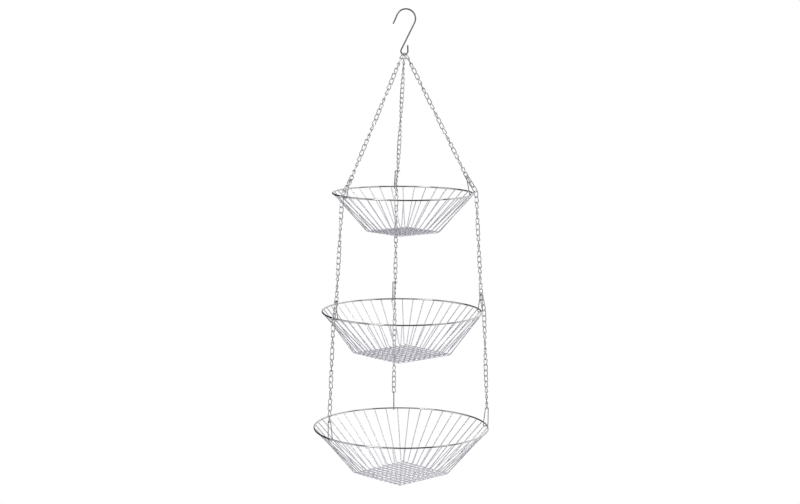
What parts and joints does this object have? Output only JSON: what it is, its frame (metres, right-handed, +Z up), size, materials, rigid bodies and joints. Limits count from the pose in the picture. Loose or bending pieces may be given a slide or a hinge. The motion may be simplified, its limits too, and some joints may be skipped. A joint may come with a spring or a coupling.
{
  "type": "hanging fruit basket",
  "caption": "Tiered wire fruit basket that hangs from an S-hook: round chromed wire baskets, larger towards the bottom, on three twisted link chains with rim clips.",
  "frame": {"origin": "seat on the inside of the S-hook's upper bend, where it rests on what it hangs from", "axes": "+Z up along the line of hang, +Y away from the viewer of the picture, +X to the viewer's right"},
  "size_m": [0.2795, 0.2805, 0.7378],
  "materials": {
    "hook": "bright chrome plate",
    "chain": "bright chrome plate, a little rubbed",
    "clip": "bright chrome plate",
    "rim": "bright chrome plate",
    "basket_wire": "bright chrome plate"
  },
  "bodies": {
    "hook": {"s_hook": "hook"},
    "hook_links": {"hook_link_left": "chain", "hook_link_right": "chain", "hook_link_back": "chain"},
    "top_tier": {"top_chain_left": "chain", "top_chain_right": "chain", "top_chain_back": "chain", "top_clip_link_left": "chain", "top_clip_link_right": "chain", "top_clip_link_back": "chain", "top_clip_left": "clip", "top_clip_right": "clip", "top_clip_back": "clip", "top_rim_links_left": "chain", "top_rim_links_right": "chain", "top_rim_links_back": "chain", "top_rim": "rim", "top_wires_lower": "basket_wire", "top_wires_upper": "basket_wire"},
    "middle_first_back": {"middle_first_link_back": "chain"},
    "middle_run_back": {"middle_chain_back": "chain"},
    "middle_first_left": {"middle_first_link_left": "chain"},
    "middle_run_left": {"middle_chain_left": "chain", "middle_last_link_left": "chain"},
    "middle_first_right": {"middle_first_link_right": "chain"},
    "middle_run_right": {"middle_chain_right": "chain", "middle_last_link_right": "chain"},
    "middle_last_back": {"middle_last_link_back": "chain"},
    "middle_tier": {"middle_clip_link_left": "chain", "middle_clip_link_right": "chain", "middle_clip_link_back": "chain", "middle_clip_left": "clip", "middle_clip_right": "clip", "middle_clip_back": "clip", "middle_rim": "rim", "middle_wires_lower": "basket_wire", "middle_wires_upper": "basket_wire", "middle_rim_links_left": "chain", "middle_rim_links_right": "chain", "middle_rim_links_back": "chain"},
    "bottom_first_back": {"bottom_first_link_back": "chain"},
    "bottom_run_back": {"bottom_chain_back": "chain"},
    "bottom_first_left": {"bottom_first_link_left": "chain"},
    "bottom_run_left": {"bottom_chain_left": "chain", "bottom_last_link_left": "chain"},
    "bottom_first_right": {"bottom_first_link_right": "chain"},
    "bottom_run_right": {"bottom_chain_right": "chain", "bottom_last_link_right": "chain"},
    "bottom_last_back": {"bottom_last_link_back": "chain"},
    "bottom_tier": {"bottom_clip_link_left": "chain", "bottom_clip_link_right": "chain", "bottom_clip_link_back": "chain", "bottom_clip_left": "clip", "bottom_clip_right": "clip", "bottom_clip_back": "clip", "bottom_rim": "rim", "bottom_wires_lower": "basket_wire", "bottom_wires_upper": "basket_wire"}
  },
  "joints": [
    {"name": "side_swing", "type": "hinge", "parent": "hook", "child": "hook_links", "pos_m": [0, 0, -0.06345], "axis": [0, 1, 0], "range_deg": [-8, 8]},
    {"name": "front_swing", "type": "hinge", "parent": "hook_links", "child": "top_tier", "pos_m": [0, 0.00066, -0.07522], "axis": [1, 0, 0], "range_deg": [-8, 8]},
    {"name": "middle_front_back", "type": "hinge", "parent": "top_tier", "child": "middle_first_back", "pos_m": [-0.01069, 0.11551, -0.2825], "axis": [1, 0, 0], "range_deg": [-8, 8]},
    {"name": "middle_side_back", "type": "hinge", "parent": "middle_first_back", "child": "middle_run_back", "pos_m": [-0.01074, 0.11605, -0.29114], "axis": [0, 1, 0], "range_deg": [-8, 8]},
    {"name": "middle_front_left", "type": "hinge", "parent": "top_tier", "child": "middle_first_left", "pos_m": [-0.09323, -0.06902, -0.28249], "axis": [1, 0, 0], "range_deg": [-8.5, 8.5]},
    {"name": "middle_side_left", "type": "hinge", "parent": "middle_first_left", "child": "middle_run_left", "pos_m": [-0.09367, -0.06934, -0.29114], "axis": [0, 1, 0], "range_deg": [-8.5, 8.5]},
    {"name": "middle_front_right", "type": "hinge", "parent": "top_tier", "child": "middle_first_right", "pos_m": [0.11472, 0.01717, -0.28249], "axis": [1, 0, 0], "range_deg": [-8.5, 8.5]},
    {"name": "middle_side_right", "type": "hinge", "parent": "middle_first_right", "child": "middle_run_right", "pos_m": [0.11526, 0.01725, -0.29114], "axis": [0, 1, 0], "range_deg": [-8.5, 8.5]},
    {"name": "middle_side_level", "type": "hinge", "parent": "middle_run_back", "child": "middle_last_back", "pos_m": [-0.01156, 0.12463, -0.42946], "axis": [0, 1, 0], "range_deg": [-8, 8]},
    {"name": "middle_front_level", "type": "hinge", "parent": "middle_last_back", "child": "middle_tier", "pos_m": [-0.01161, 0.12516, -0.4381], "axis": [1, 0, 0], "range_deg": [-8, 8]},
    {"name": "bottom_front_back", "type": "hinge", "parent": "middle_tier", "child": "bottom_first_back", "pos_m": [-0.01214, 0.13089, -0.47247], "axis": [1, 0, 0], "range_deg": [-8, 8]},
    {"name": "bottom_side_back", "type": "hinge", "parent": "bottom_first_back", "child": "bottom_run_back", "pos_m": [-0.01218, 0.13128, -0.48131], "axis": [0, 1, 0], "range_deg": [-8, 8]},
    {"name": "bottom_front_left", "type": "hinge", "parent": "middle_tier", "child": "bottom_first_left", "pos_m": [-0.10567, -0.07819, -0.47247], "axis": [1, 0, 0], "range_deg": [-8.5, 8.5]},
    {"name": "bottom_side_left", "type": "hinge", "parent": "bottom_first_left", "child": "bottom_run_left", "pos_m": [-0.10598, -0.07842, -0.48131], "axis": [0, 1, 0], "range_deg": [-8.5, 8.5]},
    {"name": "bottom_front_right", "type": "hinge", "parent": "middle_tier", "child": "bottom_first_right", "pos_m": [0.13001, 0.01943, -0.47247], "axis": [1, 0, 0], "range_deg": [-8.5, 8.5]},
    {"name": "bottom_side_right", "type": "hinge", "parent": "bottom_first_right", "child": "bottom_run_right", "pos_m": [0.1304, 0.01949, -0.48131], "axis": [0, 1, 0], "range_deg": [-8.5, 8.5]},
    {"name": "bottom_side_level", "type": "hinge", "parent": "bottom_run_back", "child": "bottom_last_back", "pos_m": [-0.01272, 0.13708, -0.61388], "axis": [0, 1, 0], "range_deg": [-8, 8]},
    {"name": "bottom_front_level", "type": "hinge", "parent": "bottom_last_back", "child": "bottom_tier", "pos_m": [-0.01275, 0.13747, -0.62271], "axis": [1, 0, 0], "range_deg": [-8, 8]}
  ],
  "couplings": [
    {"joint": "middle_front_left", "follows": "middle_front_back", "ratio": 1},
    {"joint": "middle_side_left", "follows": "middle_side_back", "ratio": 0.9412},
    {"joint": "middle_front_right", "follows": "middle_front_back", "ratio": 1},
    {"joint": "middle_side_right", "follows": "middle_side_back", "ratio": 0.9412},
    {"joint": "middle_side_level", "follows": "middle_side_back", "ratio": -0.9311},
    {"joint": "middle_front_level", "follows": "middle_front_back", "ratio": -0.9229},
    {"joint": "bottom_front_left", "follows": "bottom_front_back", "ratio": 1},
    {"joint": "bottom_side_left", "follows": "bottom_side_back", "ratio": 0.9375},
    {"joint": "bottom_front_right", "follows": "bottom_front_back", "ratio": 1},
    {"joint": "bottom_side_right", "follows": "bottom_side_back", "ratio": 0.9375},
    {"joint": "bottom_side_level", "follows": "bottom_side_back", "ratio": -0.9577},
    {"joint": "bottom_front_level", "follows": "bottom_front_back", "ratio": -0.9522}
  ]
}
